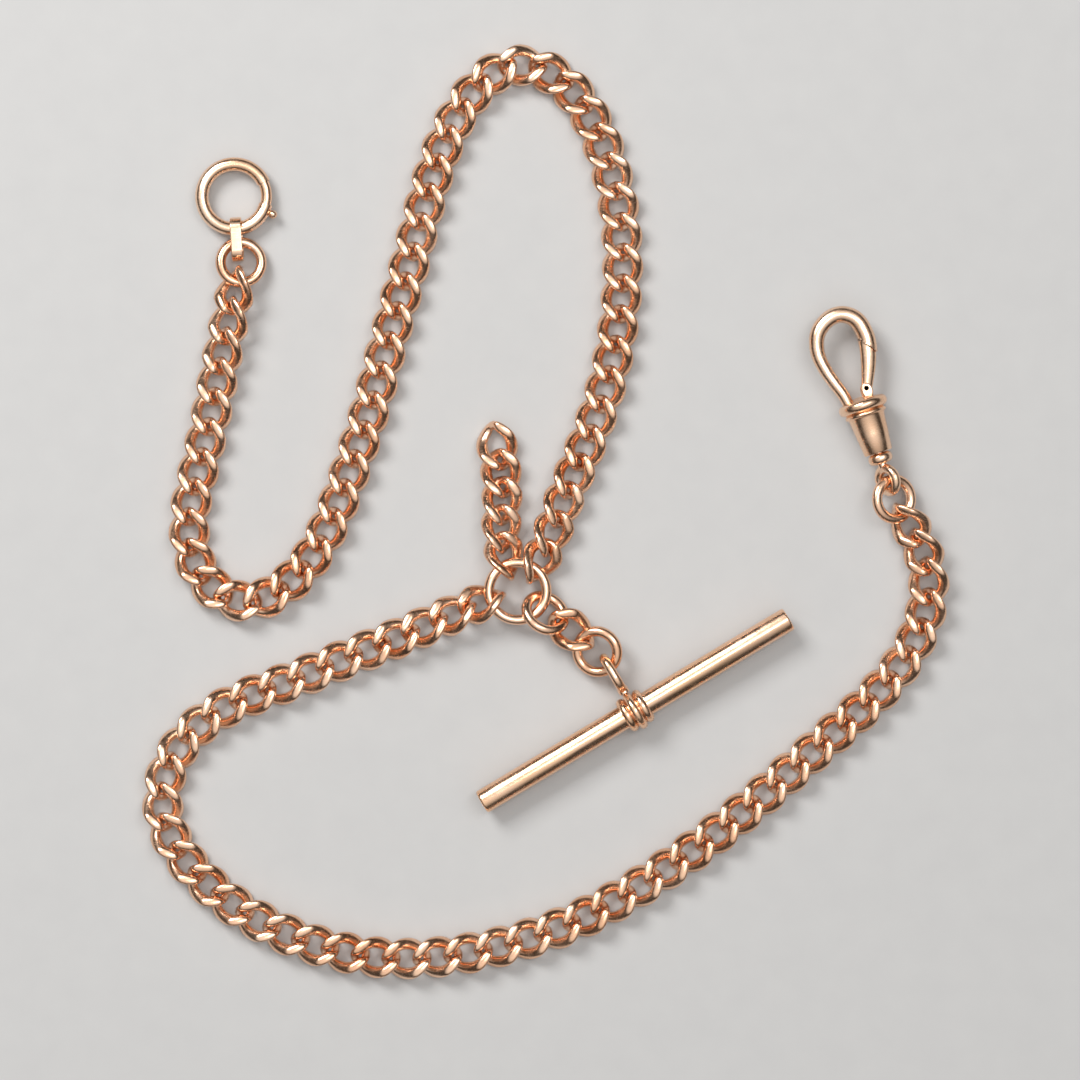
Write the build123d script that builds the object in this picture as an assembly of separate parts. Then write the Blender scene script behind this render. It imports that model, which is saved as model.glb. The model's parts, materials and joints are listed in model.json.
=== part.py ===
from build123d import *
import os
from math import atan2, cos, degrees, hypot, pi, radians, sin, tan

# Double Albert watch chain, laid out loosely on a flat surface. Millimetres, +Z up.
# The origin is under the middle of the laid-out chain, on the surface.
# A round centre ring joins four lengths: the long chain to the bolt ring that takes the watch,
# the long chain to the spring clip, the short fob drop, and the short chain to the T-bar.

# ---- Driving dimensions ----------------------------------------------------------------------
LINK_WIRE = 1.08  # diameter of the wire of a curb link
LINK_LENGTH = 5.86  # outside length of a curb link
LINK_WIDTH = 4.45  # outside width of a curb link
LINK_TWIST_RISE = 0.70  # how far the twist lifts or drops each quarter of a link
BAR_LINK_LENGTH = 6.3  # the single, longer link in the T-bar's short chain
SURFACE_GAP = 0.03  # chain links stand this clear of the resting surface

RING_WIRE = 1.2  # wire of the round rings
CENTRE_RING_OD = 7.8
WATCH_RING_OD = 5.9
CLIP_RING_OD = 5.75
BAR_RING_OD = 5.9  # ring between the centre ring and the T-bar's link
BAR_JUMP_RING_OD = 6.0  # ring that holds the T-bar's eye
RING_SEAT = 0.95  # a curb link's centre lies this far outside the ring's wire centre
RING_ROLL = (32, 24, 16, 8)  # links roll up towards a flat ring, degrees, nearest link first

BOLT_RING_OD = 9.0
BOLT_TUBE = 1.56  # diameter of the bolt ring's tube
BOLT_WALL = 0.10
TONGUE_WIRE = 1.26  # sliding tongue inside the tube
KNOB_BALL = 1.0
STRAP_THICK = 0.45  # flat strap that joins the bolt ring to its jump ring
STRAP_WIDTH = 1.3
STRAP_BORE = 0.87  # half of the strap loop's inside height

BAR_OD = 2.8
BAR_WALL = 0.4
BAR_LENGTH = 41.4
COLLAR_OD = 4.7
COLLAR_LENGTH = 3.1
COLLAR_SEAT = 0.15  # the tube is turned down by this much where the collar sits
EYE_WIRE = 1.1

FLANGE_OD = 5.75  # widest part of the clip, it rests on the surface
FLANGE_HALF = 0.70
BARREL_TOP_OD = 4.2
BARREL_END_OD = 3.3
BARREL_END = -5.7  # along the clip's axis from the middle of the flange
BARREL_BORE = 2.5
POST_SHAFT = 1.6
POST_CLEAR = 0.04
HOOK_THICK = 1.9
GATE_THICK = 1.3
PIN_WIRE = 0.6

# ---- Layout on the surface (x, y), millimetres from the middle of the laid-out chain ---------
CENTRE_RING = (-3.2, -9.1)
WATCH_RING = (-35.0, 28.7)
BOLT_RING = (-35.8, 36.3)
CLIP_RING = (40.0, 1.47)
FLANGE = (36.4, 12.2)
CLIP_HEADING = 108.4  # from the eye towards the hook, degrees from +X
BAR_RING = (0.0, -11.6)
BAR_JUMP_RING = (5.93, -16.04)
BAR_CENTRE = (10.3, -22.8)
BAR_ANGLE = 30.9

WATCH_ROUTE = [
    CENTRE_RING,
    (-0.6, -5.8),
    (1.7, 0.3),
    (4.1, 6.3),
    (6.9, 14.1),
    (8.5, 22.3),
    (8.9, 29.6),
    (7.9, 37.9),
    (4.9, 46.0),
    (1.0, 50.4),
    (-3.9, 51.6),
    (-8.4, 48.3),
    (-11.9, 41.9),
    (-14.0, 34.9),
    (-16.1, 26.8),
    (-18.3, 18.8),
    (-20.2, 11.7),
    (-22.8, 3.8),
    (-25.9, -3.7),
    (-29.8, -8.6),
    (-35.0, -10.6),
    (-39.4, -7.8),
    (-41.1, -2.2),
    (-39.5, 6.4),
    (-37.8, 14.6),
    (-36.2, 22.7),
    WATCH_RING,
]
CLIP_ROUTE = [
    CENTRE_RING,
    (-7.4, -10.4),
    (-15.3, -13.8),
    (-23.0, -16.9),
    (-29.9, -19.7),
    (-37.5, -22.8),
    (-42.6, -27.6),
    (-44.2, -34.0),
    (-39.4, -42.4),
    (-32.4, -47.4),
    (-25.6, -50.1),
    (-17.4, -51.4),
    (-9.1, -50.8),
    (-1.9, -49.1),
    (5.8, -46.0),
    (12.9, -41.8),
    (19.0, -37.5),
    (25.4, -32.3),
    (31.7, -26.8),
    (37.2, -21.9),
    (42.0, -16.0),
    (44.2, -8.4),
    (42.6, -2.6),
    (39.65, 1.1),
]
DROP_ROUTE = [
    CENTRE_RING,
    (-4.7, -5.1),
    (-5.2, -2.2),
    (-5.0, 0.8),
    (-5.0, 3.8),
    (-5.4, 6.8),
    (-6.0, 9.6),
]
WATCH_LINKS = 51
CLIP_LINKS = 48
DROP_LINKS = 5
DROP_PITCH = 3.2
GROUP = 3  # links in one named length of chain


# ---- Small helpers ---------------------------------------------------------------------------
def lay(at, heading=0.0, climb=0.0, roll=0.0):
    """Place with local x along the heading, raised by climb and rolled about itself, degrees."""
    return Pos(*at) * Rot(0, 0, heading) * Rot(0, -climb, 0) * Rot(roll, 0, 0)


def largest_arcs(points, first_run, last_run):
    """The largest tangent arc that fits at each corner of a run of straight lines."""
    radii = []
    for i in range(1, len(points) - 1):
        before = points[i] - points[i - 1]
        after = points[i + 1] - points[i]
        runs = [before.length, after.length]
        if i == 1:
            runs[0] = first_run
        if i == len(points) - 2:
            runs[1] = last_run
        half_turn = radians(before.get_angle(after)) / 2
        radii.append(0.45 * min(runs) / tan(half_turn))
    return radii


def bent_wire(points, radii, wire):
    """Round wire along straight runs joined by tangent arcs."""
    path = FilletPolyline(*points, radius=radii)
    section = Plane(origin=path @ 0, z_dir=path % 0) * Circle(wire / 2)
    return sweep(section, path=path)


def round_ring(outside, wire):
    return Torus((outside - wire) / 2, wire / 2)


def tube_arc(radius, section, start, end):
    """A section drawn round (radius, 0) in the XZ plane, turned about Z from start to end."""
    swept = revolve(Plane.XZ * Pos(radius, 0) * section, Axis.Z, end - start)
    return Rot(0, 0, start) * swept


def cylinder_x(radius, start, end):
    """A cylinder along local x from start to end."""
    middle = (start + end) / 2
    return Pos(middle, 0, 0) * Rot(0, 90, 0) * Cylinder(radius, end - start)


# ---- Curb link -------------------------------------------------------------------------------
def curb_link(length):
    """An eight-sided loop of wire twisted so that its quarters lie high and low in turn.

    The link is the same turned half round about its own z, so half is made and turned.
    """
    end = (length - LINK_WIRE) / 2
    side = (LINK_WIDTH - LINK_WIRE) / 2
    corner = tan(pi / 8)
    rise = LINK_TWIST_RISE
    points = [
        Vector(end, 0, 0),
        Vector(end, side * corner, -rise),
        Vector(end * corner, side, -rise),
        Vector(-end * corner, side, rise),
        Vector(-end, side * corner, rise),
        Vector(-end, 0, 0),
    ]
    end_run = 2 * hypot(side * corner, rise)
    half = bent_wire(points, largest_arcs(points, end_run, end_run), LINK_WIRE)
    return half + Rot(0, 0, 180) * half


def standing_height(roll):
    """Height of a link's middle when it stands on the surface, rolled by so many degrees."""
    side = (LINK_WIDTH - LINK_WIRE) / 2
    turned = LINK_TWIST_RISE * cos(radians(roll)) + side * abs(sin(radians(roll)))
    return turned + LINK_WIRE / 2 + SURFACE_GAP


# ---- Chain layout ----------------------------------------------------------------------------
def smooth_route(points):
    curve = Spline(*points)
    samples = 3000
    return [curve.position_at(i / samples) for i in range(samples + 1)]


def walk(line, pitch, start_gap):
    """Points a pitch apart along a line of samples, the first at start_gap from its start."""
    found = []
    here = line[0]
    reach = start_gap
    last = line[0]
    for sample in line:
        near = (last - here).length
        far = (sample - here).length
        if far >= reach:
            here = last + (sample - last) * ((reach - near) / (far - near))
            found.append(here)
            reach = pitch
        last = sample
    return found


def fitted_pivots(points, links, start_radius, end_radius):
    """Pivots between links, so that a whole number of links just spans from ring to ring."""
    line = smooth_route(points)
    low, high = 2.8, 4.0
    for _ in range(30):
        pitch = (low + high) / 2
        seat = RING_SEAT - pitch / 2
        found = walk(line, pitch, start_radius + seat)
        enough = len(found) > links
        left = (line[-1] - found[links]).length if enough else 0.0
        if enough and left > end_radius + seat:
            low = pitch
        else:
            high = pitch
    found = walk(line, low, start_radius + RING_SEAT - low / 2)
    return found[: links + 1], low


def rolls_for(links, ring_at_start, ring_at_end):
    """Roll of each link: those next to a flat ring turn up to let it pass through."""
    rolls = [0.0] * links
    for i, roll in enumerate(RING_ROLL):
        if ring_at_start:
            rolls[i] = roll
        if ring_at_end:
            rolls[links - 1 - i] = -roll
    return rolls


def link_places(pivots, rolls):
    """Location of each link, from the flat pivots and the rolls, and the pivots raised."""
    heights = [standing_height(roll) for roll in rolls]
    raised = []
    for i, pivot in enumerate(pivots):
        beside = heights[max(i - 1, 0) : i + 1]
        raised.append(Vector(pivot.X, pivot.Y, sum(beside) / len(beside)))
    places = []
    for i, roll in enumerate(rolls):
        step = raised[i + 1] - raised[i]
        middle = (raised[i + 1] + raised[i]) * 0.5
        heading = degrees(atan2(step.Y, step.X))
        climb = degrees(atan2(step.Z, hypot(step.X, step.Y)))
        places.append(lay((middle.X, middle.Y, middle.Z), heading, climb, roll))
    return places, raised


def grouped(name, link, places):
    """Named lengths of chain, each of a few separate links."""
    nodes = {}
    for first in range(0, len(places), GROUP):
        label = f"{name}_{first // GROUP + 1:02d}"
        nodes[label] = Compound([place * link for place in places[first : first + GROUP]])
    return nodes


# ---- Bolt ring -------------------------------------------------------------------------------
BOLT_RADIUS = (BOLT_RING_OD - BOLT_TUBE) / 2
SEAM_ANGLE = 25.0  # where the closed tongue meets the end of the tube
MOUTH_ANGLE = -14.0  # where the tongue comes out of the tube
KNOB_ANGLE = -25.0
KNOB_TRAVEL = 38.0
TONGUE_END = -98.0
SPRING_START = -101.0
SPRING_END = -222.0
CLOSED_ANGLE = -225.0
BOLT_HEIGHT = 1.35
BOLT_EYE_ANGLE = -86.5  # the strap leaves the ring in this direction
BOLT_PLACE = lay((*BOLT_RING, BOLT_HEIGHT))


def bolt_case():
    hollow = Circle(BOLT_TUBE / 2) - Circle(BOLT_TUBE / 2 - BOLT_WALL)
    case = tube_arc(BOLT_RADIUS, hollow, SEAM_ANGLE, 360 + MOUTH_ANGLE)
    end_plug = tube_arc(BOLT_RADIUS, Circle(BOLT_TUBE / 2), SEAM_ANGLE, SEAM_ANGLE + 8)
    spring_stop = tube_arc(BOLT_RADIUS, Circle(BOLT_TUBE / 2), CLOSED_ANGLE - 6, CLOSED_ANGLE)
    slot_profile = Pos(BOLT_TUBE / 2, 0) * Rectangle(BOLT_TUBE, 0.56)
    slot_end = KNOB_ANGLE - KNOB_TRAVEL - 5
    slot = tube_arc(BOLT_RADIUS, slot_profile, slot_end, MOUTH_ANGLE + 1)
    return case + end_plug + spring_stop - slot


def bolt_tongue():
    return tube_arc(BOLT_RADIUS, Circle(TONGUE_WIRE / 2), TONGUE_END, SEAM_ANGLE - 0.4)


def bolt_knob():
    """Ball on a short stem, let into the tongue."""
    ball_at = BOLT_RADIUS + BOLT_TUBE / 2 + KNOB_BALL * 0.4
    stem = cylinder_x(0.2, BOLT_RADIUS + 0.3, ball_at)
    return Rot(0, 0, KNOB_ANGLE) * (stem + Pos(ball_at, 0, 0) * Sphere(KNOB_BALL / 2))


def bolt_spring():
    """Coil spring that follows the tube, as straight runs with small arcs."""
    turns = 14
    per_turn = 6
    coil = 0.42
    wire = 0.14
    points = []
    for i in range(turns * per_turn + 1):
        share = i / (turns * per_turn)
        around = radians(SPRING_START + (SPRING_END - SPRING_START) * share)
        spin = 2 * pi * i / per_turn
        out = BOLT_RADIUS + coil * cos(spin)
        points.append(Vector(out * cos(around), out * sin(around), coil * sin(spin)))
    return bent_wire(points, [wire] * (len(points) - 2), wire)


def bolt_eye():
    """Flat strap bent into a loop round the case and the jump ring."""
    reach = 2.46
    inside = SlotCenterToCenter(reach, 2 * STRAP_BORE)
    outside = SlotCenterToCenter(reach, 2 * (STRAP_BORE + STRAP_THICK))
    strap = extrude(Plane.XZ * (outside - inside), STRAP_WIDTH / 2, both=True)
    strap = fillet(strap.edges().filter_by(GeomType.LINE).filter_by(Axis.X), 0.12)
    return Rot(0, 0, BOLT_EYE_ANGLE) * Pos(BOLT_RADIUS + reach / 2, 0, 0) * strap


# ---- T-bar -----------------------------------------------------------------------------------
BAR_HEIGHT = COLLAR_OD / 2
BAR_PLACE = lay((*BAR_CENTRE, BAR_HEIGHT), BAR_ANGLE)
CAP_LENGTH = 0.8
CAP_ROUNDING = 0.35
SPIGOT_LENGTH = 1.2
SLEEVE_OD = 3.5  # the collar between its ribs
RIB_STEP = 0.28  # the outer ribs are this much lower than the middle one
EYE_REACH = 7.0  # from the bar's axis to the middle of the eye's outer end
EYE_HALF_HEIGHT = 1.45


def bar_tube():
    """Drawn tube, turned down in the middle where the collar sits."""
    length = BAR_LENGTH - 2 * CAP_LENGTH
    tube = cylinder_x(BAR_OD / 2, -length / 2, length / 2)
    tube -= cylinder_x(BAR_OD / 2 - BAR_WALL, -length / 2, length / 2)
    half_seat = COLLAR_LENGTH / 2
    seat = cylinder_x(BAR_OD / 2 + 1, -half_seat, half_seat)
    return tube - (seat - cylinder_x(BAR_OD / 2 - COLLAR_SEAT, -half_seat, half_seat))


def bar_caps():
    """Two end plugs, each with a spigot inside the tube."""
    end = BAR_LENGTH / 2
    head = cylinder_x(BAR_OD / 2, end - CAP_LENGTH, end)
    head = fillet(head.edges().sort_by(Axis.X)[-1], CAP_ROUNDING)
    spigot = cylinder_x(BAR_OD / 2 - BAR_WALL - 0.02, end - CAP_LENGTH - SPIGOT_LENGTH, end - CAP_LENGTH)
    cap = head + spigot
    return Compound([cap, Rot(0, 0, 180) * cap])


def bar_collar():
    """Three turned ribs on a sleeve, the middle one largest."""
    bore = BAR_OD / 2 - COLLAR_SEAT + 0.01
    pitch = COLLAR_LENGTH / 3
    wall = SLEEVE_OD / 2 - bore
    profile = Pos(0, bore + wall / 2) * Rectangle(COLLAR_LENGTH, wall)
    for step in (-1, 0, 1):
        top = COLLAR_OD / 2 - RIB_STEP * abs(step)
        profile += Pos(step * pitch, top - pitch / 2) * Circle(pitch / 2)
    return revolve(profile, Axis.X) - cylinder_x(bore, -COLLAR_LENGTH, COLLAR_LENGTH)


def bar_eye():
    """Upright loop of wire on a short foot, at right angles to the bar."""
    foot_start = COLLAR_OD / 2 - 0.02
    near = foot_start + EYE_WIRE / 2 + 0.1
    length = EYE_REACH - near
    straight = length - 2 * EYE_HALF_HEIGHT
    middle = near + length / 2
    side_run = Pos(0, 0, EYE_HALF_HEIGHT) * cylinder_x(EYE_WIRE / 2, -straight / 2, straight / 2)
    end_arc = Rot(90, 0, 0) * tube_arc(EYE_HALF_HEIGHT, Circle(EYE_WIRE / 2), -90, 90)
    half = side_run + Pos(straight / 2, 0, 0) * end_arc
    loop = half + Rot(0, 180, 0) * half
    foot = cylinder_x(0.62, foot_start, near + 0.1)
    foot -= Rot(0, 0, -90) * cylinder_x(COLLAR_OD / 2, -2, 2)
    return Rot(0, 0, 90) * (Pos(middle, 0, 0) * loop + foot)


# ---- Spring clip -----------------------------------------------------------------------------
# Local x runs along the clip from the eye to the hook, local y to its left, z up.
CLIP_HEIGHT = FLANGE_OD / 2
CLIP_PLACE = lay((*FLANGE, CLIP_HEIGHT), CLIP_HEADING)
GATE_PIVOT = (1.75, -0.95)
GATE_OPEN = 22.0  # the gate presses inwards by so many degrees
LUG_RADIUS = 0.72
LUG_THICK = 0.36
LUG_GAP = 0.05
SWIVEL_EYE_AT = -9.0
SWIVEL_EYE_RADIUS = 1.35
SWIVEL_EYE_ROLL = -53.0


def clip_barrel():
    """Turned barrel with a bead flange, a chamber for the post's head and a spring recess."""
    edge = FLANGE_HALF - 0.05
    body = cylinder_x(FLANGE_OD / 2, -FLANGE_HALF, FLANGE_HALF)
    body = fillet(body.edges().filter_by(GeomType.CIRCLE), edge)
    body += cylinder_x(2.4, -1.25, -FLANGE_HALF)
    taper = Cone(BARREL_TOP_OD / 2, BARREL_END_OD / 2, -BARREL_END - 1.2)
    body += Pos((BARREL_END - 1.2) / 2, 0, 0) * Rot(0, -90, 0) * taper
    body -= cylinder_x(BARREL_BORE / 2, BARREL_END + 0.5, -1.0)
    body -= cylinder_x(POST_SHAFT / 2 + POST_CLEAR, BARREL_END - 0.1, BARREL_END + 0.6)
    recess = Box(0.75, 2.6, 1.2)
    body -= Pos(FLANGE_HALF - 0.3, -0.6, 0) * recess
    for side in (-1, 1):
        body += Pos(0, 0, side * (GATE_THICK / 2 + LUG_GAP + LUG_THICK / 2)) * gate_lug()
    return body - Pos(*GATE_PIVOT, 0) * Cylinder(PIN_WIRE / 2 + 0.005, 4)


def gate_lug():
    """Rounded ear that stands out of the flange and holds one end of the gate's pin."""
    along, aside = GATE_PIVOT
    root = FLANGE_HALF - 0.3
    ear = Pos(along, aside) * Cylinder(LUG_RADIUS, LUG_THICK)
    return ear + Pos((along + root) / 2, aside) * Box(along - root, 2 * LUG_RADIUS, LUG_THICK)


def clip_outline():
    """The teardrop band of hook and gate together, in the clip's plane."""
    with BuildSketch() as band:
        with BuildLine():
            outer = Spline(
                (0.9, 2.35),
                (3.3, 3.0),
                (5.6, 3.5),
                (7.8, 3.65),
                (10.4, 2.6),
                (11.7, -0.4),
                (10.5, -3.0),
                (7.9, -3.92),
                (5.0, -3.3),
                (2.6, -2.35),
                (0.9, -1.9),
            )
            Line(outer @ 1, outer @ 0)
        make_face()
        with BuildLine():
            Spline(
                (1.5, 0.75),
                (3.4, 1.4),
                (5.1, 1.95),
                (6.8, 2.2),
                (9.3, 1.4),
                (10.3, -0.45),
                (8.8, -1.8),
                (6.5, -1.85),
                (4.1, -0.95),
                (2.0, 0.1),
                (1.5, 0.75),
            )
        make_face(mode=Mode.SUBTRACT)
    return band.sketch


def seam_side():
    """The corner of the band that the gate fills, below the slanted seam."""
    outer_corner = [(4.35, -4.4), (-1.0, -4.4)]
    seam = [(-1.0, 0.15), (2.6, 0.35), (5.8, -1.0), (7.35, -1.2)]
    return Polyline((7.35, -1.2), *outer_corner, *seam)


def in_faces(edge, thickness):
    """True for an edge that lies in the front or back face of a plate of this thickness."""
    ends = (edge @ 0, edge @ 1)
    return all(abs(abs(end.Z) - thickness / 2) < 0.001 for end in ends)


def clip_hook():
    """Hook, standing on the flange beside the gate's lugs."""
    band = extrude(clip_outline(), HOOK_THICK / 2, both=True)
    gate_room = extrude(make_face(seam_side()), HOOK_THICK, both=True)
    hook = band - gate_room
    rims = [edge for edge in hook.edges().filter_by(GeomType.BSPLINE) if in_faces(edge, HOOK_THICK)]
    hook = fillet(rims, 0.42)
    base = Pos((FLANGE_HALF + 1.0) / 2, 1.5, 0) * Box(1.0 - FLANGE_HALF, 1.3, HOOK_THICK - 0.3)
    return hook + base


def clip_gate():
    band = extrude(clip_outline(), GATE_THICK / 2, both=True)
    room = offset(make_face(seam_side()), amount=-0.06)
    gate = band & extrude(room, GATE_THICK, both=True)
    above_heel = Pos(6 + GATE_PIVOT[0], 0, 0) * Box(12, 12, 4)
    heel = Pos(*GATE_PIVOT, 0) * Cylinder(0.74, GATE_THICK)
    gate = (gate & above_heel) + heel
    return gate - Pos(*GATE_PIVOT, 0) * Cylinder(PIN_WIRE / 2 + 0.03, 4)


def gate_pin():
    return Pos(*GATE_PIVOT, 0) * Cylinder(PIN_WIRE / 2, GATE_THICK + 0.82)


def gate_spring():
    """Bowed leaf spring in the flange's recess, under the gate's heel."""
    arc = ThreePointArc((0.2, 0.4), (0.5, -0.6), (0.2, -1.6))
    strip = trace(arc, 0.12)
    return extrude(strip, 0.45, both=True)


def swivel_post():
    """Turned post: a head inside the barrel, a shaft through its end and a bead outside."""
    head = cylinder_x(1.15, BARREL_END + 0.55, BARREL_END + 1.2)
    shaft = cylinder_x(POST_SHAFT / 2, BARREL_END - 0.1, BARREL_END + 0.6)
    bead = cylinder_x(1.4, BARREL_END - 1.3, BARREL_END - 0.06)
    bead = fillet(bead.edges().filter_by(GeomType.CIRCLE), 0.55)
    return head + shaft + bead


def swivel_eye():
    eye = Pos(SWIVEL_EYE_AT, 0, 0) * Torus(SWIVEL_EYE_RADIUS, EYE_WIRE / 2)
    foot = cylinder_x(0.55, SWIVEL_EYE_AT + SWIVEL_EYE_RADIUS + 0.2, BARREL_END - 1.3)
    return Rot(SWIVEL_EYE_ROLL, 0, 0) * (eye + foot)


# ---- Placing everything ----------------------------------------------------------------------
RING_HEIGHT = standing_height(RING_ROLL[0])
CENTRE_RING_PLACE = lay((*CENTRE_RING, RING_HEIGHT))
WATCH_RING_PLACE = lay((*WATCH_RING, 1.6), 79.4, -8.0, 7.2)
CLIP_RING_PLACE = lay((*CLIP_RING, 2.57), 120.4, 13.5, 24.0)
BAR_RING_PLACE = lay((*BAR_RING, 2.17), -28.0, -4.8, -41.5)
BAR_LINK_PLACE = lay((3.05, -13.64, 2.03), -37.0, -1.7, -10.7)
BAR_JUMP_RING_PLACE = lay((*BAR_JUMP_RING, 2.21), -50.2, 2.5, 20.4)

CENTRE_RADIUS = (CENTRE_RING_OD - RING_WIRE) / 2
WATCH_PIVOTS, WATCH_PITCH = fitted_pivots(
    WATCH_ROUTE, WATCH_LINKS, CENTRE_RADIUS, (WATCH_RING_OD - RING_WIRE) / 2
)
CLIP_PIVOTS, CLIP_PITCH = fitted_pivots(
    CLIP_ROUTE, CLIP_LINKS, CENTRE_RADIUS, (CLIP_RING_OD - RING_WIRE) / 2
)
DROP_PIVOTS = walk(smooth_route(DROP_ROUTE), DROP_PITCH, CENTRE_RADIUS + RING_SEAT - DROP_PITCH / 2)
WATCH_PLACES, WATCH_PIVOTS = link_places(WATCH_PIVOTS, rolls_for(WATCH_LINKS, True, True))
CLIP_PLACES, CLIP_PIVOTS = link_places(CLIP_PIVOTS, rolls_for(CLIP_LINKS, True, True))
DROP_PLACES, DROP_PIVOTS = link_places(DROP_PIVOTS[: DROP_LINKS + 1], rolls_for(DROP_LINKS, True, False))


def findings():
    """The rings, the bolt ring, the T-bar and the clip, by node name."""
    return {
        "centre_ring": CENTRE_RING_PLACE * round_ring(CENTRE_RING_OD, RING_WIRE),
        "watch_jump_ring": WATCH_RING_PLACE * round_ring(WATCH_RING_OD, RING_WIRE),
        "bolt_ring_case": BOLT_PLACE * bolt_case(),
        "bolt_ring_tongue": BOLT_PLACE * bolt_tongue(),
        "bolt_ring_knob": BOLT_PLACE * bolt_knob(),
        "bolt_ring_spring": BOLT_PLACE * bolt_spring(),
        "bolt_ring_eye": BOLT_PLACE * bolt_eye(),
        "bar_ring": BAR_RING_PLACE * round_ring(BAR_RING_OD, RING_WIRE),
        "bar_link": BAR_LINK_PLACE * curb_link(BAR_LINK_LENGTH),
        "bar_jump_ring": BAR_JUMP_RING_PLACE * round_ring(BAR_JUMP_RING_OD, RING_WIRE),
        "bar_tube": BAR_PLACE * bar_tube(),
        "bar_end_caps": BAR_PLACE * bar_caps(),
        "bar_collar": BAR_PLACE * bar_collar(),
        "bar_eye": BAR_PLACE * bar_eye(),
        "clip_jump_ring": CLIP_RING_PLACE * round_ring(CLIP_RING_OD, RING_WIRE),
        "clip_barrel": CLIP_PLACE * clip_barrel(),
        "clip_hook": CLIP_PLACE * clip_hook(),
        "clip_gate": CLIP_PLACE * clip_gate(),
        "clip_gate_pin": CLIP_PLACE * gate_pin(),
        "clip_gate_spring": CLIP_PLACE * gate_spring(),
        "clip_swivel_post": CLIP_PLACE * swivel_post(),
        "clip_swivel_eye": CLIP_PLACE * swivel_eye(),
    }


def all_nodes():
    link = curb_link(LINK_LENGTH)
    nodes = findings()
    nodes.update(grouped("watch_chain", link, WATCH_PLACES))
    nodes.update(grouped("clip_chain", link, CLIP_PLACES))
    nodes.update(grouped("fob_drop", link, DROP_PLACES))
    return nodes


def main():
    os.makedirs("parts", exist_ok=True)
    print(f"pitch of the watch chain {WATCH_PITCH:.3f}, of the clip chain {CLIP_PITCH:.3f}")
    for name, shape in all_nodes().items():
        export_step(shape, f"parts/{name}.step")


main()
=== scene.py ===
import json
from math import atan2, cos, pi, radians, sin

import bpy
import numpy as np
from mathutils import Matrix, Vector


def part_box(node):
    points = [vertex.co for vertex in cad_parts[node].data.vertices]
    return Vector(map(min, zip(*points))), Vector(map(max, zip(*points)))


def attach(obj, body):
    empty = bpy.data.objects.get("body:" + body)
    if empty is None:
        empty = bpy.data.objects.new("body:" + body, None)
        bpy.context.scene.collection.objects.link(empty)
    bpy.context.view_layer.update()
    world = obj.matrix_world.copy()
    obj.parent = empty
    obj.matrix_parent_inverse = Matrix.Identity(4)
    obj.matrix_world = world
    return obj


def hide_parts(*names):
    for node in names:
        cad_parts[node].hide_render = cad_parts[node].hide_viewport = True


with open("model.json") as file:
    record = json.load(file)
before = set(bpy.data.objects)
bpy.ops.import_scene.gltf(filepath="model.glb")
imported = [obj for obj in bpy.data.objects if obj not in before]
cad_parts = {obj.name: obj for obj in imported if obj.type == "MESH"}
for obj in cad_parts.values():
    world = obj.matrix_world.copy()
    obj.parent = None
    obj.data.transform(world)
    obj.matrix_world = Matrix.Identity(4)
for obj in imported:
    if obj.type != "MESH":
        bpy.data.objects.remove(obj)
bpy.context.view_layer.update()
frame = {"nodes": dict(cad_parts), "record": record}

# Double Albert watch chain in rose gold, laid out on a pale surface. Metres; MM turns millimetres into them.
# Chain links, rings and findings are shaped here and stand on the places that the frame's nodes give.

MM = 0.001
NODES = frame["nodes"]
BODY_OF = {node: body for body, members in frame["record"]["behaviour"]["bodies"].items() for node in members}

# ---- Sizes that the frame doesn't state ------------------------------------------------------
LINK_WIRE = 1.12 * MM
LINK_BAND = 1.38 * MM  # the wire is hammered wider than it is thick
LINK_END_SHARE = 0.73  # worn thinner where it hooks its neighbour
LINK_CROWN_SHARE = 1.06  # fullest at the four crowns
LINK_WIDTH = 4.80 * MM
LINK_LENGTH = 5.86 * MM
BAR_LINK_LENGTH = 6.3 * MM
LINK_TWIST_PER_MM = radians(22.5)
LINK_CROWN = 1.12 * MM  # above this height the crowns are worn down
RING_WIRE = 1.2 * MM
RING_JOINT = (radians(205), radians(1.9))  # where a ring is soldered, and half the seam's width
RING_JOINT_SHARE = 0.975


# ---- Working in edit mode --------------------------------------------------------------------
def clear_selection():
    if bpy.context.object and bpy.context.object.mode != "OBJECT":
        bpy.ops.object.mode_set(mode="OBJECT")
    bpy.ops.object.select_all(action="DESELECT")


def only(piece):
    """This piece alone is selected and active."""
    clear_selection()
    piece.select_set(True)
    bpy.context.view_layer.objects.active = piece


def named(name):
    piece = bpy.context.object
    piece.name = name
    piece.data.name = name
    return piece


def choose(piece, kind, test):
    """Edit mode, with the faces (or vertices) that pass the test selected."""
    only(piece)
    bpy.ops.object.mode_set(mode="EDIT")
    bpy.ops.mesh.select_mode(type="VERT" if kind == "vertices" else "FACE")
    bpy.ops.mesh.select_all(action="DESELECT")
    bpy.ops.object.mode_set(mode="OBJECT")
    mesh = piece.data
    if kind == "vertices":
        for vertex in mesh.vertices:
            vertex.select = test(vertex.co)
    else:
        for face in mesh.polygons:
            face.select = test(face.center, face.normal)
    bpy.ops.object.mode_set(mode="EDIT")


def done(piece, smooth=40):
    """Back to object mode, doubles merged, faces outwards, smooth shading below the angle."""
    only(piece)
    bpy.ops.object.mode_set(mode="EDIT")
    bpy.ops.mesh.select_all(action="SELECT")
    bpy.ops.mesh.remove_doubles(threshold=0.0005 * MM)
    bpy.ops.mesh.normals_make_consistent(inside=False)
    bpy.ops.object.mode_set(mode="OBJECT")
    bpy.ops.object.shade_smooth_by_angle(angle=radians(smooth))
    return piece


def apply_all(piece):
    only(piece)
    for modifier in list(piece.modifiers):
        bpy.ops.object.modifier_apply(modifier=modifier.name)


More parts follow.
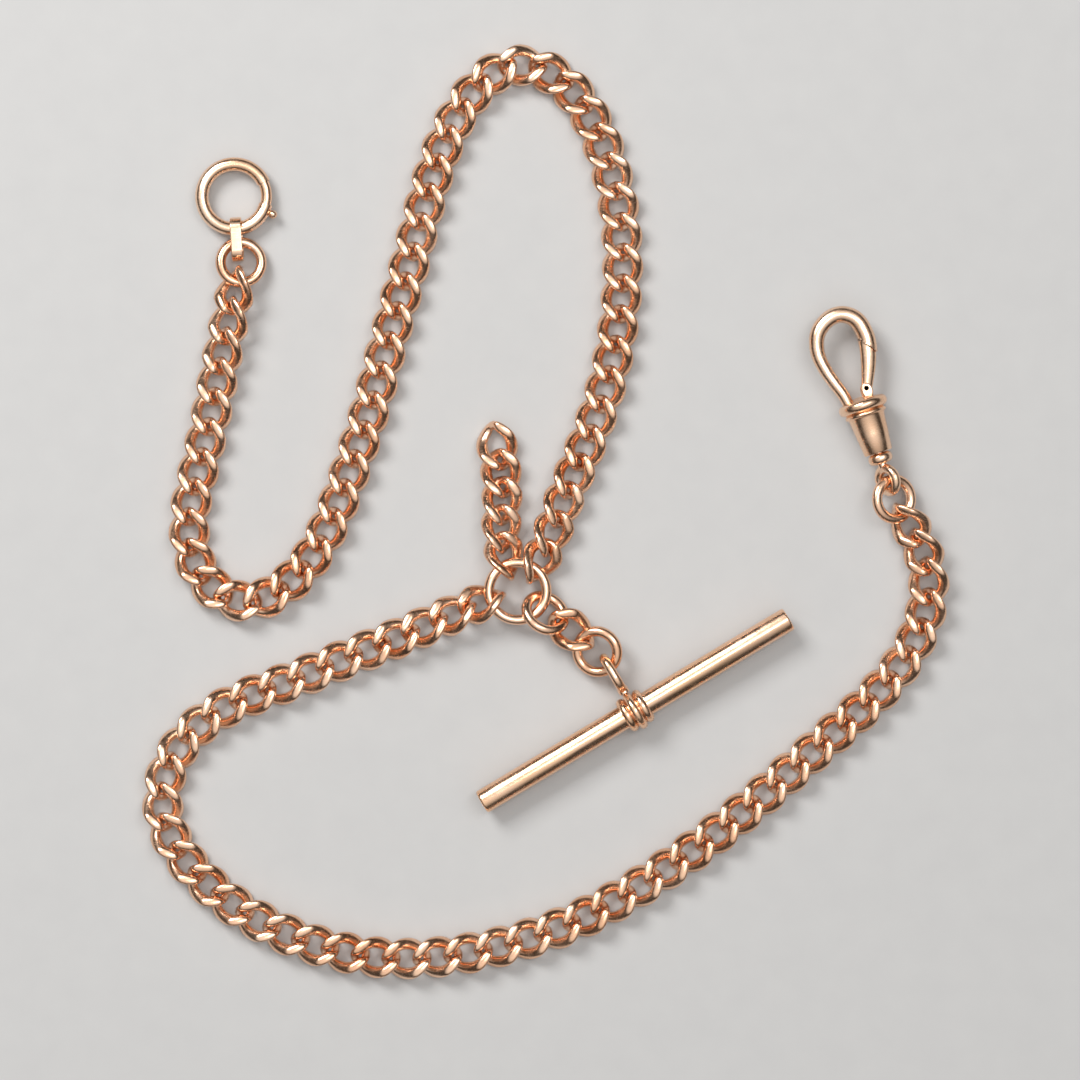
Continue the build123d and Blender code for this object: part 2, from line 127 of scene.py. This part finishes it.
def settle(piece, place):
    """The place goes into the mesh, and the object stays at the origin."""
    piece.data.transform(place @ piece.matrix_world)
    piece.matrix_world = Matrix.Identity(4)
    return piece


def copy_of(piece, name, place):
    twin = piece.copy()
    twin.data = piece.data.copy()
    twin.name = name
    twin.data.name = name
    bpy.context.scene.collection.objects.link(twin)
    return settle(twin, place)


def hand_over(piece, node, material):
    """The piece stands for a node, rides on its body and takes its finish."""
    piece.data.materials.clear()
    piece.data.materials.append(material)
    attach(piece, BODY_OF[node])
    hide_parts(node)
    return piece


# ---- Places read from the frame --------------------------------------------------------------
def surface_axes(corners):
    """Centre and right-handed axes, longest first, of a closed surface given as triangles."""
    centres = corners.mean(axis=1)
    areas = np.linalg.norm(np.cross(corners[:, 1] - corners[:, 0], corners[:, 2] - corners[:, 0]), axis=1)
    share = areas / areas.sum()
    middle = share @ centres
    away = centres - middle
    spread = (away * share[:, None]).T @ away
    axes = np.linalg.eigh(spread)[1][:, ::-1]
    if np.linalg.det(axes) < 0:
        axes[:, 2] *= -1
    return middle, axes


def triangles_of(mesh):
    mesh.calc_loop_triangles()
    points = np.array([vertex.co for vertex in mesh.vertices])
    corners = np.array([triangle.vertices for triangle in mesh.loop_triangles])
    return points[corners]


def place_from(middle, axes):
    place = Matrix.Identity(4)
    for row in range(3):
        for column in range(3):
            place[row][column] = axes[row][column]
        place[row][3] = middle[row]
    return place


def loose_places(node):
    """One place for each separate solid of a node, from a merged copy that is taken apart."""
    only(NODES[node])
    twin = NODES[node].copy()
    twin.data = NODES[node].data.copy()
    twin.parent = None
    bpy.context.scene.collection.objects.link(twin)
    only(twin)
    bpy.ops.object.mode_set(mode="EDIT")
    bpy.ops.mesh.select_all(action="SELECT")
    bpy.ops.mesh.remove_doubles(threshold=0.001 * MM)
    bpy.ops.mesh.separate(type="LOOSE")
    bpy.ops.object.mode_set(mode="OBJECT")
    places = []
    for part in list(bpy.context.selected_objects):
        places.append(place_from(*surface_axes(triangles_of(part.data))))
        bpy.data.objects.remove(part)
    return places


# ---- Shader groups ---------------------------------------------------------------------------
def new_group(name, inputs, outputs):
    group = bpy.data.node_groups.new(name, "ShaderNodeTree")
    for label, kind, value in inputs:
        socket = group.interface.new_socket(label, in_out="INPUT", socket_type=kind)
        socket.default_value = value
    for label, kind in outputs:
        group.interface.new_socket(label, in_out="OUTPUT", socket_type=kind)
    return group, group.nodes.new("NodeGroupInput"), group.nodes.new("NodeGroupOutput")


def add_node(tree, kind, **settings):
    node = tree.nodes.new(kind)
    for key, value in settings.items():
        setattr(node, key, value)
    return node


def noise(tree, vector, scale, detail=3.0, roughness=0.55):
    node = add_node(tree, "ShaderNodeTexNoise")
    node.inputs["Scale"].default_value = scale
    node.inputs["Detail"].default_value = detail
    node.inputs["Roughness"].default_value = roughness
    tree.links.new(vector, node.inputs["Vector"])
    return node.outputs["Fac"]


def spread(tree, value, low, high, out_low=0.0, out_high=1.0):
    """A value mapped from low..high to out_low..out_high, kept inside."""
    node = add_node(tree, "ShaderNodeMapRange", clamp=True)
    node.inputs["From Min"].default_value = low
    node.inputs["From Max"].default_value = high
    node.inputs["To Min"].default_value = out_low
    node.inputs["To Max"].default_value = out_high
    tree.links.new(value, node.inputs["Value"])
    return node.outputs["Result"]


def maths(tree, operation, first, second):
    node = add_node(tree, "ShaderNodeMath", operation=operation)
    for socket, value in zip(node.inputs, (first, second)):
        if isinstance(value, (int, float)):
            socket.default_value = value
        else:
            tree.links.new(value, socket)
    return node.outputs[0]


def scratches_group():
    """Fine hairlines in three directions, as a mask and as a height."""
    group, inlet, outlet = new_group(
        "hairline_scratches",
        [("Vector", "NodeSocketVector", (0, 0, 0)), ("Amount", "NodeSocketFloat", 1.0)],
        [("Mask", "NodeSocketFloat"), ("Height", "NodeSocketFloat")],
    )
    total = None
    for turn, squeeze in ((17, 30.0), (68, 24.0), (-41, 36.0)):
        aim = add_node(group, "ShaderNodeMapping")
        aim.inputs["Rotation"].default_value = (radians(turn / 3), radians(turn / 5), radians(turn))
        aim.inputs["Scale"].default_value = (1.0, squeeze, squeeze)
        group.links.new(inlet.outputs["Vector"], aim.inputs["Vector"])
        lines = noise(group, aim.outputs["Vector"], 420.0, 2.0, 0.6)
        sharp = spread(group, lines, 0.60, 0.74)
        total = sharp if total is None else maths(group, "MAXIMUM", total, sharp)
    total = maths(group, "MULTIPLY", total, inlet.outputs["Amount"])
    group.links.new(total, outlet.inputs["Mask"])
    group.links.new(maths(group, "MULTIPLY", total, -1.0), outlet.inputs["Height"])
    return group


def wear_group():
    """Soft patches of handling: where the polish is dulled, and how the skin's tone drifts."""
    group, inlet, outlet = new_group(
        "handling_wear",
        [("Vector", "NodeSocketVector", (0, 0, 0))],
        [("Dulled", "NodeSocketFloat"), ("Tone", "NodeSocketFloat"), ("Dents", "NodeSocketFloat")],
    )
    vector = inlet.outputs["Vector"]
    group.links.new(spread(group, noise(group, vector, 900.0, 4.0), 0.42, 0.68), outlet.inputs["Dulled"])
    group.links.new(spread(group, noise(group, vector, 160.0, 3.0), 0.35, 0.65), outlet.inputs["Tone"])
    group.links.new(noise(group, vector, 1500.0, 2.0), outlet.inputs["Dents"])
    return group


SCRATCHES = scratches_group()
WEAR = wear_group()


def use_group(tree, group, vector, **values):
    node = add_node(tree, "ShaderNodeGroup", node_tree=group)
    tree.links.new(vector, node.inputs["Vector"])
    for label, value in values.items():
        node.inputs[label].default_value = value
    return node


def gold(name, light, deep, polish, scratched, dented):
    """Rose gold: two tones that drift, a polish dulled in patches, hairlines and soft dents."""
    material = bpy.data.materials.new(name)
    material.use_nodes = True
    tree = material.node_tree
    tree.nodes.clear()
    shader = add_node(tree, "ShaderNodeBsdfPrincipled")
    shader.inputs["Metallic"].default_value = 1.0
    outlet = add_node(tree, "ShaderNodeOutputMaterial")
    place = add_node(tree, "ShaderNodeTexCoord")
    vector = place.outputs["Object"]
    wear = use_group(tree, WEAR, vector)
    lines = use_group(tree, SCRATCHES, vector, Amount=scratched)
    tone = add_node(tree, "ShaderNodeMix", data_type="RGBA")
    tone.inputs["A"].default_value = (*light, 1.0)
    tone.inputs["B"].default_value = (*deep, 1.0)
    tree.links.new(wear.outputs["Tone"], tone.inputs["Factor"])
    tree.links.new(tone.outputs["Result"], shader.inputs["Base Color"])
    rough = spread(tree, wear.outputs["Dulled"], 0.0, 1.0, polish, polish + 0.09)
    rough = maths(tree, "ADD", rough, maths(tree, "MULTIPLY", lines.outputs["Mask"], 0.14))
    tree.links.new(rough, shader.inputs["Roughness"])
    dents = maths(tree, "MULTIPLY", wear.outputs["Dents"], dented)
    height = maths(tree, "ADD", dents, lines.outputs["Height"])
    bump = add_node(tree, "ShaderNodeBump")
    bump.inputs["Strength"].default_value = 0.35
    bump.inputs["Distance"].default_value = 0.004 * MM
    tree.links.new(height, bump.inputs["Height"])
    tree.links.new(bump.outputs["Normal"], shader.inputs["Normal"])
    tree.links.new(shader.outputs["BSDF"], outlet.inputs["Surface"])
    return material


def spring_wire():
    material = bpy.data.materials.new("spring_wire")
    material.use_nodes = True
    tree = material.node_tree
    shader = tree.nodes["Principled BSDF"]
    shader.inputs["Metallic"].default_value = 1.0
    shader.inputs["Base Color"].default_value = (0.5, 0.49, 0.47, 1.0)
    place = add_node(tree, "ShaderNodeTexCoord")
    lines = use_group(tree, SCRATCHES, place.outputs["Object"], Amount=0.6)
    tree.links.new(spread(tree, lines.outputs["Mask"], 0.0, 1.0, 0.28, 0.45), shader.inputs["Roughness"])
    return material


LIGHT_ROSE = (0.96, 0.64, 0.45)
DEEP_ROSE = (0.87, 0.50, 0.31)
LINK_GOLD = gold("link_rose_gold", LIGHT_ROSE, DEEP_ROSE, 0.20, 0.6, 0.5)
RING_GOLD = gold("ring_rose_gold", LIGHT_ROSE, DEEP_ROSE, 0.18, 0.7, 0.5)
BAR_GOLD = gold("bar_rose_gold", LIGHT_ROSE, (0.90, 0.57, 0.35), 0.19, 1.0, 0.4)
FINDING_GOLD = gold("finding_rose_gold", (0.97, 0.69, 0.50), (0.90, 0.57, 0.37), 0.20, 0.8, 0.5)
SPRING_WIRE = spring_wire()


# ---- Curb links ------------------------------------------------------------------------------
def curb_link(name, length):
    """Oval of hammered wire, twisted about its length, its crowns worn flat."""
    end = length / 2 - LINK_BAND / 2 * LINK_END_SHARE
    side = (LINK_WIDTH - LINK_BAND) / 2
    clear_selection()
    bpy.ops.curve.primitive_bezier_circle_add(radius=LINK_WIRE / 2)
    section = bpy.context.object
    bpy.ops.object.mode_set(mode="EDIT")
    bpy.ops.curve.select_all(action="SELECT")
    bpy.ops.transform.resize(value=(LINK_BAND / LINK_WIRE, 1.0, 1.0), center_override=(0, 0, 0))
    bpy.ops.object.mode_set(mode="OBJECT")
    section.data.resolution_u = 4
    clear_selection()
    bpy.ops.curve.primitive_bezier_circle_add(radius=side)
    wire = bpy.context.object
    bpy.ops.object.mode_set(mode="EDIT")
    bpy.ops.curve.select_all(action="SELECT")
    bpy.ops.transform.resize(value=(end / side, 1.0, 1.0), center_override=(0, 0, 0))
    bpy.ops.curve.subdivide()
    for test, share in (
        (lambda x: x > 0.9, LINK_END_SHARE),
        (lambda x: 0.1 < x <= 0.9, LINK_CROWN_SHARE),
    ):
        bpy.ops.curve.select_all(action="DESELECT")
        for point in wire.data.splines[0].bezier_points:
            point.select_control_point = test(abs(point.co.x) / end)
        bpy.ops.curve.radius_set(radius=share)
    bpy.ops.object.mode_set(mode="OBJECT")
    wire.data.splines[0].radius_interpolation = "EASE"
    wire.data.resolution_u = 9
    wire.data.bevel_mode = "OBJECT"
    wire.data.bevel_object = section
    bpy.ops.object.convert(target="MESH")
    link = named(name)
    bpy.data.objects.remove(section)
    twist = link.modifiers.new("curb_twist", "SIMPLE_DEFORM")
    twist.deform_method = "TWIST"
    twist.deform_axis = "X"
    twist.angle = -LINK_TWIST_PER_MM * length / MM
    apply_all(link)
    for crown in (LINK_CROWN, -LINK_CROWN):
        choose(link, "vertices", lambda point, crown=crown: point.z / crown > 1.0)
        bpy.ops.transform.resize(value=(1.0, 1.0, 0.35), center_override=(0, 0, crown))
    return done(link, 60)


def fit_links(node, master, material):
    for number, place in enumerate(loose_places(node), start=1):
        piece = copy_of(master, f"{node}_link_{number}", place)
        hand_over(piece, node, material)


def fit_chain():
    master = curb_link("curb_link_master", LINK_LENGTH)
    for node in sorted(NODES):
        if node.startswith(("watch_chain", "clip_chain", "fob_drop")):
            fit_links(node, master, LINK_GOLD)
    bpy.data.objects.remove(master)
    long_master = curb_link("bar_link_master", BAR_LINK_LENGTH)
    fit_links("bar_link", long_master, LINK_GOLD)
    bpy.data.objects.remove(long_master)


# ---- Round rings -----------------------------------------------------------------------------
def ring_place(node):
    """Middle and axis of a ring, and its wire's radius line, from the node's surface."""
    triangles = triangles_of(NODES[node].data)
    middle, axes = surface_axes(triangles)
    axis = Vector(axes[:, 2])
    if axis.z < 0:
        axis.negate()
    across = np.linalg.norm(triangles.reshape(-1, 3) - middle, axis=1)
    turn = axis.to_track_quat("Z", "Y").to_matrix().to_4x4()
    return Matrix.Translation(Vector(middle)) @ turn, (across.max() + across.min()) / 2


def jump_ring(node):
    """Round wire ring with a soldered joint that shows as a faint step."""
    place, radius = ring_place(node)
    clear_selection()
    bpy.ops.mesh.primitive_torus_add(
        major_radius=radius, minor_radius=RING_WIRE / 2, major_segments=96, minor_segments=24
    )
    ring = named(node + "_wire")
    joint, half = RING_JOINT
    choose(ring, "faces", lambda centre, normal: abs(atan2(centre.y, centre.x) % (2 * pi) - joint) < half)
    joint_centre = (radius * cos(joint), radius * sin(joint), 0)
    bpy.ops.transform.resize(value=[RING_JOINT_SHARE] * 3, center_override=joint_centre)
    settle(done(ring), place)
    return hand_over(ring, node, RING_GOLD)


def fit_rings():
    for node in ("centre_ring", "watch_jump_ring", "bar_ring", "bar_jump_ring", "clip_jump_ring"):
        jump_ring(node)


# ---- Swivel clip -----------------------------------------------------------------------------
GATE_PIVOT = Vector((1.75, -0.95, 0.0)) * MM  # from the middle of the flange, along and across the clip
HOOK_ROUTE = (
    # along, across and half thickness of the hook, from its root round to the seam
    (0.3, 1.50, 0.62),
    (1.6, 1.62, 0.70),
    (3.4, 2.28, 0.74),
    (5.4, 2.88, 0.78),
    (7.6, 3.12, 0.84),
    (9.9, 2.25, 0.92),
    (11.1, -0.35, 0.96),
    (9.9, -2.45, 1.00),
    (7.6, -2.90, 1.02),
    (6.2, -2.72, 1.00),
    (4.6, -2.40, 0.98),
)
GATE_ROUTE = (
    (8.0, -2.85, 0.98),
    (6.2, -2.66, 0.96),
    (4.4, -2.15, 0.88),
    (2.9, -1.55, 0.74),
    (1.75, -1.05, 0.64),
    (1.1, -0.80, 0.50),
)
SEAM = Vector((6.4, -2.6, 0.0)) * MM
SEAM_NORMAL = Vector((0.62, -0.78, 0.0))
SEAM_GAP = 0.05 * MM


def joint_named(name):
    return next(joint for joint in frame["record"]["behaviour"]["joints"] if joint["name"] == name)


def clip_place():
    """The clip's own frame: X from the flange towards the hook, Z up."""
    along = Vector(joint_named("clip_turn")["axis"]).normalized()
    hook_low, hook_high = (Vector(corner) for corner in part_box("clip_hook"))
    pivot = Vector(joint_named("clip_gate_hinge")["pos_m"])
    if along.dot((hook_low + hook_high) / 2 - Vector(joint_named("clip_turn")["pos_m"])) < 0:
        along.negate()
    turn = Matrix((along, Vector((-along.y, along.x, 0.0)), Vector((0, 0, 1)))).transposed().to_4x4()
    return Matrix.Translation(pivot - turn.to_3x3() @ GATE_PIVOT) @ turn


def horn(name, route, flatness):
    """Tapered round bar along a smooth curve, a little flatter than round."""
    curve = bpy.data.curves.new(name, "CURVE")
    curve.dimensions = "3D"
    spline = curve.splines.new("NURBS")
    spline.points.add(len(route) - 1)
    for point, (along, across, half) in zip(spline.points, route):
        point.co = (along * MM, across * MM, 0.0, 1.0)
        point.radius = half
    spline.order_u = 3
    spline.use_endpoint_u = True
    spline.resolution_u = 14
    curve.bevel_depth = MM
    curve.bevel_resolution = 8
    curve.use_fill_caps = True
    holder = bpy.data.objects.new(name, curve)
    bpy.context.scene.collection.objects.link(holder)
    only(holder)
    bpy.ops.object.convert(target="MESH")
    piece = named(name)
    choose(piece, "vertices", lambda point: True)
    bpy.ops.transform.resize(value=(1.0, 1.0, flatness), center_override=(0, 0, 0))
    bpy.ops.object.mode_set(mode="OBJECT")
    return piece


def cut(piece, at, normal):
    """The part of a closed piece on the far side of a plane is cut away and the cut is filled."""
    choose(piece, "faces", lambda centre, facing: centre.y < 0.5 * MM and centre.x < 9 * MM)
    bpy.ops.mesh.bisect(plane_co=at, plane_no=normal, use_fill=True, clear_outer=True)
    return piece


def soften(piece, width, angle=50):
    """Sharp edges get a small round."""
    rounding = piece.modifiers.new("rounding", "BEVEL")
    rounding.width = width
    rounding.segments = 2
    rounding.limit_method = "ANGLE"
    rounding.angle_limit = radians(angle)
    apply_all(piece)
    return piece


def turned(name, profile, sides=72):
    """Turned solid about Z, drawn up ring by ring from (place, radius) pairs in millimetres."""
    clear_selection()
    (first, first_radius), *rest = profile
    bpy.ops.mesh.primitive_circle_add(
        vertices=sides, radius=first_radius * MM, fill_type="NGON", location=(0, 0, first * MM)
    )
    piece = named(name)
    bpy.ops.object.mode_set(mode="EDIT")
    bpy.ops.mesh.select_all(action="SELECT")
    here, radius = first, first_radius
    for place, wide in rest:
        bpy.ops.mesh.extrude_region_move(TRANSFORM_OT_translate={"value": (0, 0, (place - here) * MM)})
        share = wide / radius
        bpy.ops.transform.resize(value=(share, share, 1.0), center_override=(0, 0, place * MM))
        here, radius = place, wide
    bpy.ops.object.mode_set(mode="OBJECT")
    return piece


FLANGE_BEAD = (2.22, 0.65)  # radius of the flange's round edge's middle, and of the edge
# Along the barrel from the flange (hook side positive), and radius
BARREL_TAPER = ((-5.70, 0.95), (-5.70, 1.58), (-5.62, 1.65), (-3.40, 1.88), (-1.45, 2.08), (-1.25, 2.18))
BARREL_NECK = ((-1.20, 2.34), (-1.08, 2.42), (-0.92, 2.42), (-0.80, 2.32), (-0.72, 2.20))
BARREL_FACE = ((0.72, 1.75), (0.95, 1.15), (1.05, 0.55), (1.07, 0.05))
EAR_RADIUS = 0.66 * MM
EAR_THICK = 0.36 * MM
EAR_HEIGHT = 0.88 * MM
EAR_STRETCH = 1.45


def barrel_ear(side):
    """Rounded ear beside the gate's heel, stretched back into the flange."""
    clear_selection()
    bpy.ops.mesh.primitive_cylinder_add(vertices=40, radius=EAR_RADIUS, depth=EAR_THICK)
    ear = named("barrel_ear")
    choose(ear, "vertices", lambda point: True)
    back = -EAR_RADIUS * (EAR_STRETCH - 1)
    bpy.ops.transform.resize(value=(EAR_STRETCH, 1.0, 1.0), center_override=(0, 0, 0))
    bpy.ops.transform.translate(value=(GATE_PIVOT.x + back, GATE_PIVOT.y, side * EAR_HEIGHT))
    bpy.ops.object.mode_set(mode="OBJECT")
    rounded = ear.modifiers.new("rounded", "BEVEL")
    rounded.width = 0.17 * MM
    rounded.segments = 4
    rounded.limit_method = "ANGLE"
    apply_all(ear)
    return ear


def fit_barrel(place):
    middle, round_edge = FLANGE_BEAD
    turns = [radians(angle) for angle in range(-80, 81, 16)]
    bead = tuple((round_edge * sin(turn), middle + round_edge * cos(turn)) for turn in turns)
    barrel = turned("clip_turned_barrel", BARREL_TAPER + BARREL_NECK + bead + BARREL_FACE)
    choose(barrel, "vertices", lambda point: True)
    bpy.ops.transform.rotate(value=pi / 2, orient_axis="Y", center_override=(0, 0, 0))
    bpy.ops.object.mode_set(mode="OBJECT")
    only(barrel)
    if max(vertex.co.x for vertex in barrel.data.vertices) > 2 * MM:
        choose(barrel, "vertices", lambda point: True)
        bpy.ops.transform.rotate(value=pi, orient_axis="Z", center_override=(0, 0, 0))
        bpy.ops.object.mode_set(mode="OBJECT")
    barrel.data.transform(barrel.matrix_world)
    barrel.matrix_world = Matrix.Identity(4)
    ears = [barrel_ear(side) for side in (-1, 1)]
    only(barrel)
    for ear in ears:
        ear.select_set(True)
    bpy.ops.object.join()
    hand_over(settle(done(barrel, 40), place), "clip_barrel", FINDING_GOLD)


def fit_clip():
    place = clip_place()
    fit_barrel(place)
    hook = horn("clip_hook_horn", HOOK_ROUTE, 0.95)
    cut(hook, SEAM + SEAM_NORMAL * SEAM_GAP, -SEAM_NORMAL)
    hook = settle(soften(done(hook), 0.05 * MM), place)
    hand_over(done(hook, 50), "clip_hook", FINDING_GOLD)
    gate = horn("clip_gate_horn", GATE_ROUTE, 0.72)
    cut(gate, SEAM - SEAM_NORMAL * SEAM_GAP, SEAM_NORMAL)
    gate = settle(soften(done(gate), 0.05 * MM), place)
    hand_over(done(gate, 50), "clip_gate", FINDING_GOLD)


# ---- T-bar -----------------------------------------------------------------------------------
BAR_FLATS = (
    # along the bar, length, turn about the bar, depth
    (-8.9, 1.9, 52, 0.09),
    (11.0, 2.6, 62, 0.09),
)
FLAT_EDGE = 0.04  # slope at each end of a flat
BAR_END_INSET = 0.25 * MM
BAR_END_ROUND = 0.32 * MM


def fit_bar():
    """Drawn tube with softly rounded ends and two small flats worn into it."""
    middle, axes = surface_axes(triangles_of(NODES["bar_tube"].data))
    if axes[0, 0] < 0:
        axes[:, 0] *= -1
    along = Vector(axes[:, 0])
    turn = Matrix((along, Vector((-along.y, along.x, 0.0)), Vector((0, 0, 1)))).transposed().to_4x4()
    place = Matrix.Translation(Vector(middle)) @ turn
    low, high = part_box("bar_tube")
    radius = (high[2] - low[2]) / 2
    caps_low, caps_high = (Vector(corner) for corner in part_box("bar_end_caps"))
    length = (caps_high.x - caps_low.x - 2 * radius * abs(along.y)) / along.x
    clear_selection()
    bpy.ops.mesh.primitive_cylinder_add(vertices=72, radius=radius, depth=length)
    bar = named("bar_drawn_tube")
    choose(bar, "vertices", lambda point: True)
    bpy.ops.transform.rotate(value=pi / 2, orient_axis="Y", center_override=(0, 0, 0))
    bpy.ops.object.mode_set(mode="OBJECT")
    choose(bar, "faces", lambda centre, normal: abs(normal.x) > 0.9)
    bpy.ops.mesh.inset(thickness=BAR_END_INSET)
    bpy.ops.object.mode_set(mode="OBJECT")
    for at, span, turned, depth in BAR_FLATS:
        start, end = at - span / 2, at + span / 2
        for edge in (start - FLAT_EDGE, start, end, end + FLAT_EDGE):
            choose(bar, "faces", lambda centre, normal: True)
            bpy.ops.mesh.bisect(plane_co=(edge * MM, 0, 0), plane_no=(1, 0, 0))
            bpy.ops.object.mode_set(mode="OBJECT")
    rounded = bar.modifiers.new("rounded_ends", "BEVEL")
    rounded.width = BAR_END_ROUND
    rounded.segments = 4
    rounded.limit_method = "ANGLE"
    rounded.angle_limit = radians(60)
    apply_all(bar)
    for at, span, turned, depth in BAR_FLATS:
        facing = Vector((0, -cos(radians(turned)), sin(radians(turned))))
        level = radius - depth * MM

        def on_flat(point, at=at, span=span, facing=facing, level=level):
            return abs(point.x / MM - at) < span / 2 + 0.01 and point.dot(facing) > level

        choose(bar, "vertices", on_flat)
        bpy.ops.object.mode_set(mode="OBJECT")
        for vertex in bar.data.vertices:
            if vertex.select:
                vertex.co -= facing * (vertex.co.dot(facing) - level)
    bar = settle(done(bar, 35), place)
    hand_over(bar, "bar_tube", BAR_GOLD)
    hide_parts("bar_end_caps")


# ---- Finishes on the frame's own pieces ------------------------------------------------------
def finish_node(node, material):
    NODES[node].data.materials.clear()
    NODES[node].data.materials.append(material)


def finish_nodes():
    for node in ("bolt_ring_case", "bolt_ring_tongue", "bolt_ring_knob", "bolt_ring_eye"):
        finish_node(node, FINDING_GOLD)
    for node in ("clip_gate_pin", "clip_swivel_post", "clip_swivel_eye"):
        finish_node(node, FINDING_GOLD)
    for node in ("bar_collar", "bar_eye"):
        finish_node(node, BAR_GOLD)
    for node in ("bolt_ring_spring", "clip_gate_spring"):
        finish_node(node, SPRING_WIRE)


# ---- Table, light and camera -----------------------------------------------------------------
def pale_floor():
    clear_selection()
    bpy.ops.mesh.primitive_plane_add(size=3.0)
    floor = named("pale_floor")
    material = bpy.data.materials.new("pale_card")
    material.use_nodes = True
    tree = material.node_tree
    shader = tree.nodes["Principled BSDF"]
    shader.inputs["Roughness"].default_value = 0.75
    place = add_node(tree, "ShaderNodeTexCoord")
    tone = add_node(tree, "ShaderNodeMix", data_type="RGBA")
    tone.inputs["A"].default_value = (0.50, 0.495, 0.49, 1.0)
    tone.inputs["B"].default_value = (0.54, 0.535, 0.525, 1.0)
    tree.links.new(noise(tree, place.outputs["Object"], 260.0, 6.0), tone.inputs["Factor"])
    tree.links.new(tone.outputs["Result"], shader.inputs["Base Color"])
    floor.data.materials.append(material)


def soft_box(name, at, size, watts, colour=(1.0, 1.0, 1.0)):
    lamp = bpy.data.lights.new(name, "AREA")
    lamp.shape = "RECTANGLE"
    lamp.size, lamp.size_y = size
    lamp.energy = watts
    lamp.color = colour
    holder = bpy.data.objects.new(name, lamp)
    bpy.context.scene.collection.objects.link(holder)
    holder.location = at
    holder.rotation_euler = (-Vector(at)).to_track_quat("-Z", "Y").to_euler()


def studio():
    soft_box("key_upper_left", (-0.30, 0.34, 0.46), (0.26, 0.26), 3.0)
    soft_box("overhead_strip", (0.16, 0.10, 0.72), (0.16, 0.55), 1.4)
    world = bpy.data.worlds.new("studio_room")
    bpy.context.scene.world = world
    world.use_nodes = True
    tree = world.node_tree
    back = tree.nodes["Background"]
    place = add_node(tree, "ShaderNodeTexCoord")
    split = add_node(tree, "ShaderNodeSeparateXYZ")
    tree.links.new(place.outputs["Generated"], split.inputs["Vector"])
    ramp = add_node(tree, "ShaderNodeValToRGB")
    ramp.color_ramp.elements[0].position = 0.42
    ramp.color_ramp.elements[0].color = (0.05, 0.047, 0.045, 1.0)
    ramp.color_ramp.elements[1].position = 0.97
    ramp.color_ramp.elements[1].color = (1.0, 0.99, 0.98, 1.0)
    tree.links.new(split.outputs["Z"], ramp.inputs["Fac"])
    tree.links.new(ramp.outputs["Color"], back.inputs["Color"])
    back.inputs["Strength"].default_value = 1.0


VIEW_WIDTH = 124.2 * MM  # width of the picture at the chain's height
VIEW_CENTRE = (-0.63 * MM, -3.22 * MM)
CHAIN_HEIGHT = 1.5 * MM
CAMERA_HEIGHT = 0.50


def camera():
    eye = bpy.data.cameras.new("camera")
    eye.sensor_width = 36.0
    eye.lens = eye.sensor_width * CAMERA_HEIGHT / VIEW_WIDTH
    eye.clip_start = 0.01
    holder = bpy.data.objects.new("camera", eye)
    bpy.context.scene.collection.objects.link(holder)
    holder.location = (*VIEW_CENTRE, CHAIN_HEIGHT + CAMERA_HEIGHT)
    bpy.context.scene.camera = holder


fit_chain()
fit_rings()
fit_clip()
fit_bar()
finish_nodes()
pale_floor()
studio()
camera()
scene = bpy.context.scene
scene.view_settings.view_transform = "Standard"
clear_selection()
